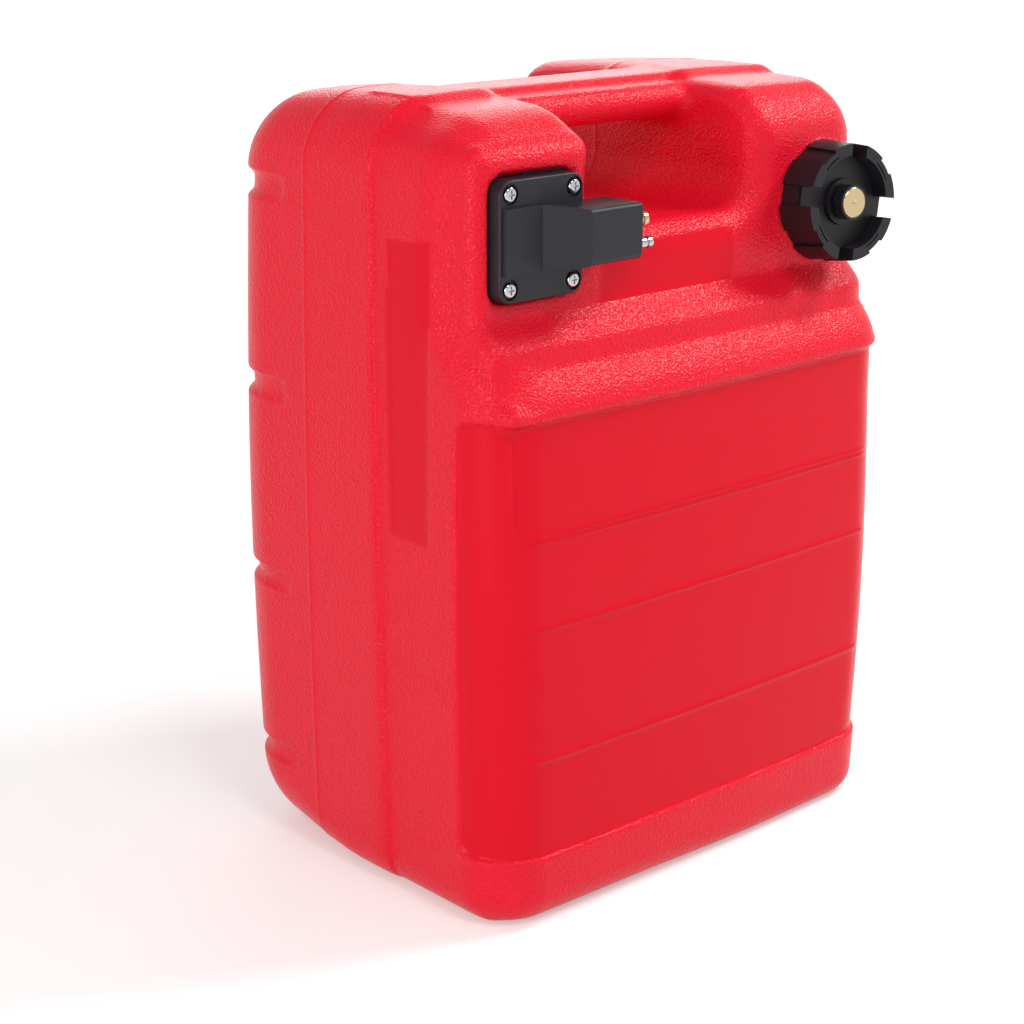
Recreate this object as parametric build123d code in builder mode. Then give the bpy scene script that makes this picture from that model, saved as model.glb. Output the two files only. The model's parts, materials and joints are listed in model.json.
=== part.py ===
"""Portable outboard fuel tank with a screw cap, a vent screw and a screwed-on fuel outlet.

The frame: +Z up, +X to the tank's right, the front face looks along -Y. The origin lies on the
surface that the tank stands on, midway between its sides.
"""

import os

from math import cos, radians, sin, sqrt, tan

from build123d import *

# ---------------------------------------------------------------- tank body
tank_height = 460.0
tank_width = 332.0
wall = 3.5
front_y = -122.0
back_y = 125.5
back_corner = 38.0
back_taper = 1.5
base_round = 18.0
top_round = 28.0
crown_drop = 24.0
crown_reach = 160.0

# the front half of the moulding stands in from the back half along this plane
split_y = -18.0
split_step = 2.5
split_overlap = 10.0

# the front half has three levels: each higher one stands further back
lower_corner = 38.0
lower_drop = 140.0
middle_setback = 15.0
middle_corner = 46.0
middle_drop = 111.0
upper_setback = 30.0
upper_corner = 32.0
front_bow = 3.5
upper_bow = 1.0
shoulder_round = 13.0

# smooth panel across the front and round both of its corners
panel_low = 43.0
panel_drop = 164.0
panel_depth = 1.8

# grooves across the back
groove_count = 4
groove_first = 46.0
groove_pitch = 116.0
groove_height = 16.0
groove_depth = 4.5
groove_start_y = 62.0

# smooth fields on the left side and on the upper front
field_depth = 1.0
side_field_front_y = -62.0
side_field_back_y = -19.0
side_field_low = 221.0
side_field_high = 387.0
front_field_left = -67.0
front_field_right = 41.0
front_field_low = 347.0
front_field_high = 377.0

# grip well between the two towers, and the bar across it
left_tower = 97.0
right_tower = 104.0
well_depth = 74.0
well_round = 22.0
well_lip_round = 26.0
well_bevel = 9.0
flare_start = 0.5
flare_spare = 2.0
flare_rise = 1.0
bar_front_y = -35.0
bar_back_y = 28.0
bar_thickness = 24.5
bar_round = 10.0
bar_drop = 1.5

# ---------------------------------------------------------------- clearances
running_gap = 0.08
fit_gap = 0.15
clear_gap = 0.3

# ---------------------------------------------------------------- filler neck and cap
# the neck leans a little to the left and upwards, and stands on a short root
neck_from_side = 50.0
neck_from_top = 74.0
neck_yaw = 6.0
neck_pitch = 4.0
neck_root_radius = 34.0
neck_root_depth = 26.0
neck_radius = 29.0
neck_bore = 23.5
thread_depth = 1.8
cap_wall = 5.5
cap_step = 1.6
cap_recess_arc = 19.5
cap_length = 24.0
cap_taper = 4.5
cap_face_gap = 1.0
cap_hollow = 9.8
cap_web = 2.2
cap_rim_width = 8.8
cap_slot_count = 4
cap_slot_width = 12.0
cap_slot_angle = -11.0
cap_kerf_width = 0.8
cap_kerf_arc = 24.0
cap_kerf_depth = 2.5
cap_kerf_setback = 7.0
gasket_thickness = 1.8
gasket_overhang = 1.0
disc_thickness = 1.6
disc_lug_setback = 4.0

# vent screw
hub_radius = 13.4
hub_height = 4.0
hub_spigot_wall = 3.0
vent_stem_radius = 3.0
vent_stem_foot = 3.5
vent_head_radius = 8.8
vent_face = 25.6
vent_edge = 0.5
vent_dimple_radius = 1.6
vent_dimple_depth = 0.8
vent_dimple_tip = 0.2
knob_wall = 1.5
knob_setback = 0.6
vent_seal_thickness = 1.2
vent_seal_radius = 7.0
clip_width = 2.2
clip_foot = 5.0
clip_thickness = 1.0
clip_groove_depth = 0.5
clip_opening = 3.6
guard_radius = 9.6
guard_wall = 1.4
guard_foot = 0.5
guard_hole = 1.3
guard_hole_circle = 5.0
guard_holes = 6

# ---------------------------------------------------------------- outlet flange
flange_from_side = 49.5
flange_from_top = 69.8
flange_width = 60.4
flange_height = 65.4
flange_corner = 8.0
flange_thickness = 11.0
flange_edge_round = 1.4
sheet_thickness = 2.0
pocket_depth = 5.0
pocket_margin = 3.0
tab_offset = 12.0
tab_width = 34.0
tab_height = 7.2

# connector housing on the plate, measured from the plate's middle
pad_left = -28.5
pad_right = -2.5
pad_low = -17.2
pad_high = 18.3
pad_height = 3.0
housing_left = 15.0
housing_end = 54.5
housing_low = -14.2
housing_high = 16.3
housing_height = 22.5
housing_round = 3.0
housing_back_gap = 1.6

screw_spacing_x = 46.0
screw_spacing_z = 50.3
screw_radius = 2.0
screw_head_radius = 4.1
screw_head_height = 2.6
screw_head_round = 1.5
screw_length = 20.0
screw_seat_radius = 5.6
screw_seat_depth = 1.6
cross_width = 1.1
cross_length = 4.6
cross_depth = 1.4
insert_radius = 4.0
insert_length = 10.0
boss_wall = 3.0
boss_end = 4.0

# ---------------------------------------------------------------- outlet prongs
# their heights are measured from the plate's middle, and their depth from its front
prong_height = 9.0
nipple_rise = 4.3
nipple_radius = 4.0
nipple_length = 10.5
nipple_hex = 11.0
nipple_hex_length = 3.0
nipple_body_radius = 6.6
nipple_body_length = 16.0
nipple_bore = 2.4
nipple_chamber = 4.4
nipple_chamber_start = 2.0
nipple_groove_depth = 0.6
nipple_groove_length = 2.0
nipple_groove_setback = 3.5
nipple_tip = 0.6
chamber_length = 24.0
passage_radius = 2.2
pin_rise = -9.0
pin_radius = 3.2
pin_length = 18.5
pin_socket = 14.0
pin_flange_radius = 4.2
pin_flange_length = 2.0
pin_groove_depth = 0.9
pin_groove_length = 1.6
pin_tip_length = 4.0
pin_tip_round = 1.2
ring_wire = 0.65
ring_groove_depth = 1.2
ring_groove_setback = 7.0

poppet_stem_radius = 1.9
poppet_head_radius = 3.9
poppet_head_length = 2.0
poppet_tail_radius = 1.4
poppet_tail_length = 5.0
poppet_recess = 1.0
spring_radius = 2.9
spring_wire = 0.35
spring_turns = 6

# ---------------------------------------------------------------- suction line inside the tank
spigot_offset = 8.5
spigot_rise = 2.8
spigot_radius = 9.0
spigot_bore = 3.6
spigot_reach = 34.0
barb_setback = 7.0
barb_radius = 5.0
barb_length = 26.0
barb_bore = 3.2
barb_groove_depth = 0.4
barb_groove_pitch = 5.0
barb_grooves = 3
tube_radius = 6.5
tube_head_gap = 3.0
tube_foot = 22.0
strainer_radius = 9.5
strainer_wall = 1.5
strainer_collar = 14.0
strainer_shoulder = 2.0
strainer_slots = 8
strainer_slot_width = 2.0
strainer_foot = 8.0
clamp_wall = 1.2
clamp_height = 8.0
clamp_drop = 12.0
clamp_ear = 6.0
clamp_ear_wall = 1.6
clamp_ear_gap = 2.0

os.makedirs("parts", exist_ok=True)

back_half = tank_width / 2
front_half = back_half - split_step
front_top = tank_height - split_step
lower_top = tank_height - lower_drop
middle_top = tank_height - middle_drop
panel_high = tank_height - panel_drop
middle_front_y = front_y + middle_setback
upper_front_y = front_y + upper_setback
well_left = -back_half + left_tower
well_right = back_half - right_tower
well_floor = tank_height - well_depth
bar_top = tank_height - bar_drop
bar_bottom = bar_top - bar_thickness


def save(piece, name):
    """Label a finished piece and write it under its own name."""
    piece.part.label = name
    export_step(piece.part, f"parts/{name}.step")


# ---------------------------------------------------------------- forms of the body
def plan_outline(half_width, front, bow, front_corner, inset, taper=0.0):
    """Plan of one level: a bowed front, round corners, and sides that draw in towards the back."""
    half = half_width - inset
    back_half_line = half - taper
    front_line = front + inset
    back_line = back_y - inset
    with BuildSketch() as plan:
        with BuildLine():
            bowed = ThreePointArc((-half, front_line), (0, front_line - bow), (half, front_line))
            Polyline(
                bowed @ 1, (back_half_line, back_line), (-back_half_line, back_line), bowed @ 0
            )
        make_face()
        fillet(plan.vertices().group_by(Axis.Y)[0], front_corner - inset)
        fillet(plan.vertices().group_by(Axis.Y)[-1], back_corner - inset)
    return plan.sketch


def level(front, bow, corner, top, rim, inset):
    """One level of the front half as a block that stands on the base, with rounded rims."""
    outline = plan_outline(front_half, front, bow, corner, inset)
    with BuildPart() as block:
        with BuildSketch(Plane.XY.offset(inset)):
            add(outline)
        extrude(amount=top - 2 * inset)
        fillet(block.faces().sort_by(Axis.Z)[0].edges(), base_round - inset)
        fillet(block.faces().sort_by(Axis.Z)[-1].edges(), rim - inset)
    return block.part


def crowned_level(half_width, front, bow, corner, top, inset, taper=0.0):
    """A full-height level whose top is arched from front to back."""
    outline = plan_outline(half_width, front, bow, corner, inset, taper)
    crown = top - inset
    with BuildPart() as block:
        with BuildSketch(Plane.XY.offset(inset)):
            add(outline)
        extrude(amount=top)
        with BuildSketch(Plane.YZ):
            with BuildLine():
                arch = ThreePointArc(
                    (-crown_reach, crown - crown_drop), (0, crown), (crown_reach, crown - crown_drop)
                )
                Polyline(arch @ 1, (crown_reach, 0), (-crown_reach, 0), arch @ 0)
            make_face()
        extrude(amount=tank_width, both=True, mode=Mode.INTERSECT)
        fillet(block.faces().sort_by(Axis.Z)[0].edges(), base_round - inset)
        fillet(block.faces().sort_by(Axis.Z)[-1].edges(), top_round - inset)
    return block.part


def band(outline, low, high, y_from, y_to):
    """What lies outside an outline, between two heights and two depths: it cuts a recess."""
    with BuildPart() as cutter:
        with BuildSketch(Plane.XY.offset(low)):
            with Locations((0, (y_from + y_to) / 2)):
                Rectangle(2 * tank_width, abs(y_to - y_from))
            add(outline, mode=Mode.SUBTRACT)
        extrude(amount=high - low)
    return cutter.part


def well_mouth(y, grow, spare=0.0):
    """The profile of the grip well at one depth: a round-bottomed channel with splayed lips."""
    left = well_left - grow
    right = well_right + grow
    floor = well_floor - grow
    top = tank_height - grow
    lip = well_lip_round - grow
    low = well_round + grow
    outer_left = left - lip - spare
    outer_right = right + lip + spare
    with BuildSketch(Plane.XZ.offset(-y)) as mouth:
        with BuildLine():
            near = RadiusArc((left - lip, top), (left, top - lip), lip)
            Line(near @ 1, (left, floor + low))
            RadiusArc((left, floor + low), (left + low, floor), -low)
            Line((left + low, floor), (right - low, floor))
            RadiusArc((right - low, floor), (right, floor + low), -low)
            Line((right, floor + low), (right, top - lip))
            far = RadiusArc((right, top - lip), (right + lip, top), lip)
            Polyline(
                far @ 1,
                (outer_right, top + spare + flare_rise),
                (outer_right, top + 2 * well_lip_round),
                (outer_left, top + 2 * well_lip_round),
                (outer_left, top + spare + flare_rise),
                near @ 0,
            )
        make_face()
    return mouth.sketch


def grip_well(inset):
    """The channel between the towers, and the flares at its front and back ends."""
    front = upper_front_y - upper_bow + inset
    back = back_y - inset
    with BuildPart() as channel:
        add(well_mouth(-tank_width, inset))
        extrude(amount=2 * tank_width, dir=(0, 1, 0))
    with BuildPart() as front_flare:
        add(well_mouth(front - well_bevel, inset + 2 * well_bevel, flare_spare))
        add(well_mouth(front + well_bevel, inset - flare_start, flare_spare))
        loft(ruled=True)
    with BuildPart() as back_flare:
        add(well_mouth(back - well_bevel, inset - flare_start, flare_spare))
        add(well_mouth(back + well_bevel, inset + 2 * well_bevel, flare_spare))
        loft(ruled=True)
    return [channel.part, front_flare.part, back_flare.part]


def grip_bar(inset):
    """The carrying bar, which runs into both towers."""
    low = bar_bottom + inset
    high = bar_top - inset
    front = bar_front_y + inset
    back = bar_back_y - inset
    reach = well_lip_round + wall + inset
    with BuildPart() as bar:
        with BuildSketch(Plane.YZ.offset(well_left - reach)):
            with Locations(((front + back) / 2, (low + high) / 2)):
                RectangleRounded(back - front, high - low, bar_round - inset)
        extrude(amount=well_right - well_left + 2 * reach)
    return bar.part


def tank_form(inset):
    """The body's outer form, or the cavity in it when the inset is the wall."""
    rear = crowned_level(
        back_half, front_y, front_bow, lower_corner, tank_height, inset, back_taper
    )
    lower = level(front_y, front_bow, lower_corner, lower_top, shoulder_round, inset)
    middle = level(middle_front_y, front_bow, middle_corner, middle_top, shoulder_round, inset)
    upper = crowned_level(front_half, upper_front_y, upper_bow, upper_corner, front_top, inset)
    groove_plan = plan_outline(
        back_half, front_y, front_bow, lower_corner, inset + groove_depth, back_taper
    )
    panel_plan = plan_outline(
        front_half, front_y, front_bow, lower_corner, inset + panel_depth
    )
    lows = [groove_first + groove_pitch * index for index in range(groove_count)]
    grooves = [
        band(groove_plan, low - inset, low + groove_height + inset, groove_start_y - inset, 2 * back_y)
        for low in lows
    ]
    panel_edge_y = front_y + lower_corner + inset
    panel = band(panel_plan, panel_low - inset, panel_high + inset, 2 * front_y, panel_edge_y)
    well = grip_well(inset)
    bar = grip_bar(inset)
    with BuildPart() as front:
        add([lower, middle, upper])
        with Locations((0, split_y + split_overlap + tank_width, tank_height / 2)):
            Box(2 * tank_width, 2 * tank_width, 2 * tank_height, mode=Mode.SUBTRACT)
    with BuildPart() as form:
        add(rear)
        with Locations((0, split_y + inset - tank_width, tank_height / 2)):
            Box(2 * tank_width, 2 * tank_width, 2 * tank_height, mode=Mode.SUBTRACT)
        add(front.part)
        for cutter in well:
            add(cutter, mode=Mode.SUBTRACT)
        add(bar)
        add(grooves, mode=Mode.SUBTRACT)
        add(panel, mode=Mode.SUBTRACT)
    return form.part


outer_form = tank_form(0.0)
cavity = tank_form(wall)

# ---------------------------------------------------------------- places worked out from the sizes
neck_x = back_half - neck_from_side
neck_z = tank_height - neck_from_top
flange_x = -back_half + flange_from_side
flange_z = tank_height - flange_from_top

pocket_floor_y = upper_front_y + pocket_depth
plate_back_y = pocket_floor_y - sheet_thickness
plate_front_y = plate_back_y - flange_thickness
screw_seat_y = plate_front_y + screw_seat_depth
screw_bore = insert_length + clear_gap
screw_spots = [
    (flange_x + side * screw_spacing_x / 2, flange_z + end * screw_spacing_z / 2)
    for side in (-1, 1)
    for end in (-1, 1)
]

cap_thread_radius = neck_radius + thread_depth
cap_radius = cap_thread_radius + cap_wall
cap_axis = Vector(0, -1, 0).rotate(Axis.X, -neck_pitch).rotate(Axis.Z, -neck_yaw)
cap_lean = cap_radius * sqrt(cap_axis.X**2 + cap_axis.Z**2) / -cap_axis.Y
cap_base_y = upper_front_y - upper_bow - cap_face_gap - cap_lean
cap_recess = cap_radius - cap_rim_width
neck_end = cap_hollow - gasket_thickness - 2 * clear_gap
cap_seat = cap_hollow + cap_web
hub_front = cap_seat + hub_height
vent_seal_back = hub_front + clear_gap
vent_head_back = vent_seal_back + vent_seal_thickness + clear_gap

prong_y = plate_front_y - prong_height
prong_root = flange_x + housing_end
nipple_z = flange_z + nipple_rise
pin_z = flange_z + pin_rise
chamber_radius = nipple_body_radius + fit_gap
pin_bore = pin_radius + fit_gap
poppet_seat = nipple_chamber_start + clear_gap

spigot_x = flange_x + spigot_offset
spigot_z = flange_z + spigot_rise
spigot_foot = spigot_z - spigot_radius
barb_y = plate_back_y + spigot_reach - barb_setback
barb_foot = spigot_foot - barb_length
tube_head = spigot_foot - tube_head_gap
tube_bore = barb_radius + running_gap


def facing_front(x, y, z):
    """A plane at a point, whose normal points out of the tank's front and whose y axis is up."""
    return Plane(origin=(x, y, z), x_dir=(1, 0, 0), z_dir=(0, -1, 0))


def facing_right(x, y, z):
    """A plane at a point, whose normal points to the tank's right and whose y axis is up."""
    return Plane(origin=(x, y, z), x_dir=(0, 1, 0), z_dir=(1, 0, 0))


def cap_level(height):
    """The plane across the cap at a height above its base, square to the neck's axis."""
    base = Vector(neck_x, cap_base_y, neck_z)
    across = Vector(1, 0, 0).rotate(Axis.Z, -neck_yaw)
    return Plane(origin=base + cap_axis * height, x_dir=across, z_dir=cap_axis)


def polar(radius, angle):
    """The point at a radius and an angle."""
    return (radius * cos(radians(angle)), radius * sin(radians(angle)))


nipple_plane = facing_right(prong_root, prong_y, nipple_z)
pin_plane = facing_right(prong_root, prong_y, pin_z)
plate_plane = facing_front(flange_x, plate_back_y, flange_z)

# ---------------------------------------------------------------- tank shell
side_field_middle = (side_field_low + side_field_high) / 2
front_field_x = (front_field_left + front_field_right) / 2
front_field_z = (front_field_low + front_field_high) / 2

with BuildPart() as pocket_wall:
    with BuildSketch(facing_front(flange_x, pocket_floor_y + wall, flange_z)):
        RectangleRounded(
            flange_width + 2 * (pocket_margin + wall),
            flange_height + 2 * (pocket_margin + wall),
            flange_corner + pocket_margin + wall,
        )
    extrude(amount=wall)
    add(outer_form, mode=Mode.INTERSECT)

with BuildPart() as tank_shell:
    add(outer_form)
    with BuildSketch(cap_level(-cap_face_gap)):
        Circle(neck_root_radius)
    extrude(amount=-neck_root_depth)
    # shallow pocket for the outlet, with the tank's wall carried round behind it
    with BuildSketch(facing_front(flange_x, pocket_floor_y, flange_z)):
        RectangleRounded(
            flange_width + 2 * pocket_margin,
            flange_height + 2 * pocket_margin,
            flange_corner + pocket_margin,
        )
    extrude(amount=2 * pocket_depth, mode=Mode.SUBTRACT)
    add(cavity, mode=Mode.SUBTRACT)
    with BuildSketch(cap_level(-cap_face_gap - wall)):
        Circle(neck_root_radius - wall)
    extrude(amount=-neck_root_depth, mode=Mode.SUBTRACT)
    add(pocket_wall.part)
    # neck, and the bosses that hold the outlet's inserts
    with BuildSketch(cap_level(neck_end)):
        Circle(neck_radius)
    extrude(amount=-neck_end - cap_face_gap - wall)
    with BuildSketch(facing_front(0, pocket_floor_y + screw_bore + boss_end, 0)):
        with Locations(*screw_spots):
            Circle(insert_radius + boss_wall)
    extrude(amount=screw_bore + boss_end - wall / 2)
    with BuildSketch(cap_level(neck_end)):
        Circle(neck_bore)
    extrude(amount=-neck_root_depth, mode=Mode.SUBTRACT)
    with BuildSketch(facing_front(0, pocket_floor_y, 0)):
        with Locations(*screw_spots):
            Circle(insert_radius + fit_gap)
    extrude(amount=-screw_bore, mode=Mode.SUBTRACT)
    with BuildSketch(facing_front(spigot_x, pocket_floor_y, spigot_z)):
        Circle(spigot_radius + clear_gap)
    extrude(amount=-2 * wall, mode=Mode.SUBTRACT)
    # smooth sunk fields
    with Locations((-front_half, (side_field_front_y + side_field_back_y) / 2, side_field_middle)):
        Box(
            2 * field_depth,
            side_field_back_y - side_field_front_y,
            side_field_high - side_field_low,
            mode=Mode.SUBTRACT,
        )
    with BuildSketch(facing_front(front_field_x, upper_front_y - upper_bow + field_depth, front_field_z)):
        Rectangle(front_field_right - front_field_left, front_field_high - front_field_low)
    extrude(amount=2 * field_depth, mode=Mode.SUBTRACT)
save(tank_shell, "tank_shell")

# ---------------------------------------------------------------- outlet flange
pad_front_y = plate_front_y - pad_height
housing_front_y = plate_front_y - housing_height
housing_back_y = upper_front_y - upper_bow - housing_back_gap

with BuildPart() as housing:
    with BuildSketch(Plane.XY.offset(flange_z + pad_low)):
        with BuildLine():
            Polyline(
                (flange_x + pad_left, plate_front_y + pad_height),
                (flange_x + pad_left, pad_front_y),
                (flange_x + pad_right, pad_front_y),
                (flange_x + housing_left, housing_front_y),
                (prong_root, housing_front_y),
                (prong_root, housing_back_y),
                (flange_x + housing_left, housing_back_y),
                close=True,
            )
        make_face()
    extrude(amount=pad_high - pad_low)
    with BuildSketch(facing_front(flange_x, 0, flange_z)):
        with BuildLine():
            Polyline(
                (pad_left, pad_low),
                (pad_right, pad_low),
                (housing_left, housing_low),
                (housing_end, housing_low),
                (housing_end, housing_high),
                (housing_left, housing_high),
                (pad_right, pad_high),
                (pad_left, pad_high),
                close=True,
            )
        make_face()
    extrude(amount=-2 * housing_front_y, mode=Mode.INTERSECT)
    fillet(housing.faces().sort_by(Axis.Y)[0].edges().filter_by(Axis.X), housing_round)
    fillet(housing.faces().sort_by(Axis.X)[-1].edges(), housing_round)

with BuildPart() as outlet_flange:
    with BuildSketch(plate_plane):
        RectangleRounded(flange_width, flange_height, flange_corner)
    extrude(amount=flange_thickness)
    fillet(outlet_flange.faces().sort_by(Axis.Y)[0].edges(), flange_edge_round)
    add(housing.part)
    with BuildSketch(facing_front(spigot_x, plate_back_y, spigot_z)):
        Circle(spigot_radius)
    extrude(amount=-spigot_reach)
    with BuildSketch(Plane.XY.offset(barb_foot)):
        with Locations((spigot_x, barb_y)):
            Circle(barb_radius)
    extrude(amount=barb_length + spigot_radius)
    # screw holes and seats
    with BuildSketch(facing_front(0, plate_back_y, 0)):
        with Locations(*screw_spots):
            Circle(screw_radius + fit_gap)
    extrude(amount=flange_thickness, mode=Mode.SUBTRACT)
    with BuildSketch(facing_front(0, screw_seat_y, 0)):
        with Locations(*screw_spots):
            Circle(screw_seat_radius)
    extrude(amount=pad_height, mode=Mode.SUBTRACT)
    # fuel way: from the barb, through the spigot, to the valve chamber
    with BuildSketch(Plane.XY.offset(barb_foot)):
        with Locations((spigot_x, barb_y)):
            Circle(barb_bore)
    extrude(amount=barb_length + spigot_radius, mode=Mode.SUBTRACT)
    with BuildSketch(facing_front(spigot_x, barb_y, spigot_z)):
        Circle(spigot_bore)
    extrude(amount=barb_y - prong_y, mode=Mode.SUBTRACT)
    with BuildSketch(nipple_plane):
        Circle(chamber_radius)
    extrude(amount=-chamber_length, mode=Mode.SUBTRACT)
    with BuildSketch(nipple_plane):
        Circle(passage_radius)
    extrude(amount=spigot_x - prong_root, mode=Mode.SUBTRACT)
    with BuildSketch(pin_plane):
        Circle(pin_bore)
    extrude(amount=-pin_socket - clear_gap, mode=Mode.SUBTRACT)
    # grooves that leave the barb's ridges
    for index in range(barb_grooves):
        groove_foot = barb_foot + barb_groove_pitch * (index + 0.5)
        with BuildSketch(Plane.XY.offset(groove_foot)):
            with Locations((spigot_x, barb_y)):
                Circle(barb_radius)
                Circle(barb_radius - barb_groove_depth, mode=Mode.SUBTRACT)
        extrude(amount=barb_groove_pitch / 2, mode=Mode.SUBTRACT)
save(outlet_flange, "outlet_flange")

with BuildPart() as flange_gasket:
    with BuildSketch(plate_plane):
        RectangleRounded(flange_width, flange_height, flange_corner)
        with Locations((tab_offset, flange_height / 2)):
            Ellipse(tab_width / 2, tab_height / 2)
        with Locations(*[(x - flange_x, z - flange_z) for x, z in screw_spots]):
            Circle(screw_radius + fit_gap, mode=Mode.SUBTRACT)
        with Locations((spigot_x - flange_x, spigot_z - flange_z)):
            Circle(spigot_radius + clear_gap, mode=Mode.SUBTRACT)
    extrude(amount=-sheet_thickness)
save(flange_gasket, "flange_gasket")

with BuildPart() as flange_screws:
    with BuildSketch(facing_front(0, screw_seat_y, 0)):
        with Locations(*screw_spots):
            Circle(screw_head_radius)
    extrude(amount=screw_head_height)
    fillet(flange_screws.edges().group_by(Axis.Y)[0], screw_head_round)
    with BuildSketch(facing_front(0, screw_seat_y, 0)):
        with Locations(*screw_spots):
            Circle(screw_radius)
    extrude(amount=-screw_length)
    with BuildSketch(facing_front(0, screw_seat_y - screw_head_height + cross_depth, 0)):
        with Locations(*screw_spots):
            Rectangle(cross_length, cross_width)
            Rectangle(cross_width, cross_length)
    extrude(amount=cross_depth, mode=Mode.SUBTRACT)
save(flange_screws, "flange_screws")

with BuildPart() as screw_inserts:
    with BuildSketch(facing_front(0, pocket_floor_y, 0)):
        with Locations(*screw_spots):
            Circle(insert_radius)
            Circle(screw_radius + running_gap, mode=Mode.SUBTRACT)
    extrude(amount=-insert_length)
save(screw_inserts, "screw_inserts")

# ---------------------------------------------------------------- suction line
with BuildPart() as pickup_tube:
    with BuildSketch(Plane.XY.offset(tube_foot)):
        with Locations((spigot_x, barb_y)):
            Circle(tube_radius)
            Circle(tube_bore, mode=Mode.SUBTRACT)
    extrude(amount=tube_head - tube_foot)
save(pickup_tube, "pickup_tube")

screen_foot = strainer_foot + strainer_wall
screen_top = tube_foot - strainer_shoulder
with BuildPart() as pickup_strainer:
    with BuildSketch(Plane.XY.offset(strainer_foot)):
        with Locations((spigot_x, barb_y)):
            Circle(strainer_radius)
    extrude(amount=tube_foot + strainer_collar - strainer_foot)
    fillet(pickup_strainer.edges().group_by(Axis.Z)[0], strainer_wall)
    with BuildSketch(Plane.XY.offset(screen_foot)):
        with Locations((spigot_x, barb_y)):
            Circle(strainer_radius - strainer_wall)
            with PolarLocations(strainer_radius, strainer_slots):
                Rectangle(4 * strainer_wall, strainer_slot_width)
    extrude(amount=screen_top - screen_foot, mode=Mode.SUBTRACT)
    with BuildSketch(Plane.XY.offset(screen_top)):
        with Locations((spigot_x, barb_y)):
            Circle(tube_bore)
    extrude(amount=strainer_shoulder, mode=Mode.SUBTRACT)
    with BuildSketch(Plane.XY.offset(tube_foot)):
        with Locations((spigot_x, barb_y)):
            Circle(tube_radius + running_gap)
    extrude(amount=strainer_collar, mode=Mode.SUBTRACT)
save(pickup_strainer, "pickup_strainer")

clamp_bore = tube_radius + running_gap
clamp_radius = clamp_bore + clamp_wall
clamp_ear_width = clamp_ear_gap + 2 * clamp_ear_wall
with BuildPart() as tube_clamp:
    with BuildSketch(Plane.XY.offset(tube_head - clamp_drop)):
        with Locations((spigot_x, barb_y)):
            Circle(clamp_radius)
            with Locations((0, (clamp_radius + clamp_ear) / 2)):
                Rectangle(clamp_ear_width, clamp_radius + clamp_ear)
            with Locations((0, (clamp_radius + clamp_ear) / 2)):
                Rectangle(clamp_ear_gap, clamp_radius + clamp_ear, mode=Mode.SUBTRACT)
            Circle(clamp_bore, mode=Mode.SUBTRACT)
    extrude(amount=clamp_height)
save(tube_clamp, "tube_clamp")

# ---------------------------------------------------------------- outlet prongs
with BuildPart() as outlet_nipple:
    with BuildSketch(nipple_plane.offset(-nipple_body_length)):
        Circle(nipple_body_radius)
    extrude(amount=nipple_body_length)
    with BuildSketch(nipple_plane):
        RegularPolygon(nipple_hex / 2, 6, major_radius=False)
    extrude(amount=nipple_hex_length)
    with BuildSketch(nipple_plane.offset(nipple_hex_length)):
        Circle(nipple_radius)
    extrude(amount=nipple_length)
    chamfer(outlet_nipple.edges().group_by(Axis.X)[-1], nipple_tip)
    with BuildSketch(nipple_plane.offset(nipple_hex_length + nipple_length - nipple_groove_setback)):
        Circle(nipple_radius)
        Circle(nipple_radius - nipple_groove_depth, mode=Mode.SUBTRACT)
    extrude(amount=-nipple_groove_length, mode=Mode.SUBTRACT)
    with BuildSketch(nipple_plane.offset(-ring_groove_setback - ring_wire - running_gap)):
        Circle(nipple_body_radius)
        Circle(nipple_body_radius - ring_groove_depth, mode=Mode.SUBTRACT)
    extrude(amount=2 * (ring_wire + running_gap), mode=Mode.SUBTRACT)
    with BuildSketch(nipple_plane.offset(-nipple_chamber_start)):
        Circle(nipple_bore)
    extrude(amount=nipple_chamber_start + nipple_hex_length + nipple_length, mode=Mode.SUBTRACT)
    with BuildSketch(nipple_plane.offset(-nipple_body_length)):
        Circle(nipple_chamber)
    extrude(amount=nipple_body_length - nipple_chamber_start, mode=Mode.SUBTRACT)
save(outlet_nipple, "outlet_nipple")

with BuildPart() as guide_pin:
    with BuildSketch(pin_plane.offset(-pin_socket)):
        Circle(pin_radius)
    extrude(amount=pin_socket + pin_length)
    fillet(guide_pin.edges().group_by(Axis.X)[-1], pin_tip_round)
    with BuildSketch(pin_plane):
        Circle(pin_flange_radius)
    extrude(amount=pin_flange_length)
    with BuildSketch(pin_plane.offset(pin_length - pin_tip_length)):
        Circle(pin_radius)
        Circle(pin_radius - pin_groove_depth, mode=Mode.SUBTRACT)
    extrude(amount=-pin_groove_length, mode=Mode.SUBTRACT)
    with BuildSketch(pin_plane.offset(-ring_groove_setback - ring_wire - running_gap)):
        Circle(pin_radius)
        Circle(pin_radius - ring_groove_depth, mode=Mode.SUBTRACT)
    extrude(amount=2 * (ring_wire + running_gap), mode=Mode.SUBTRACT)
save(guide_pin, "guide_pin")

with BuildPart() as nipple_o_ring:
    with Locations(nipple_plane.offset(-ring_groove_setback)):
        Torus((nipple_body_radius - ring_groove_depth + chamber_radius) / 2, ring_wire)
save(nipple_o_ring, "nipple_o_ring")

with BuildPart() as guide_pin_o_ring:
    with Locations(pin_plane.offset(-ring_groove_setback)):
        Torus((pin_radius - ring_groove_depth + pin_bore) / 2, ring_wire)
save(guide_pin_o_ring, "guide_pin_o_ring")

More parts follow.
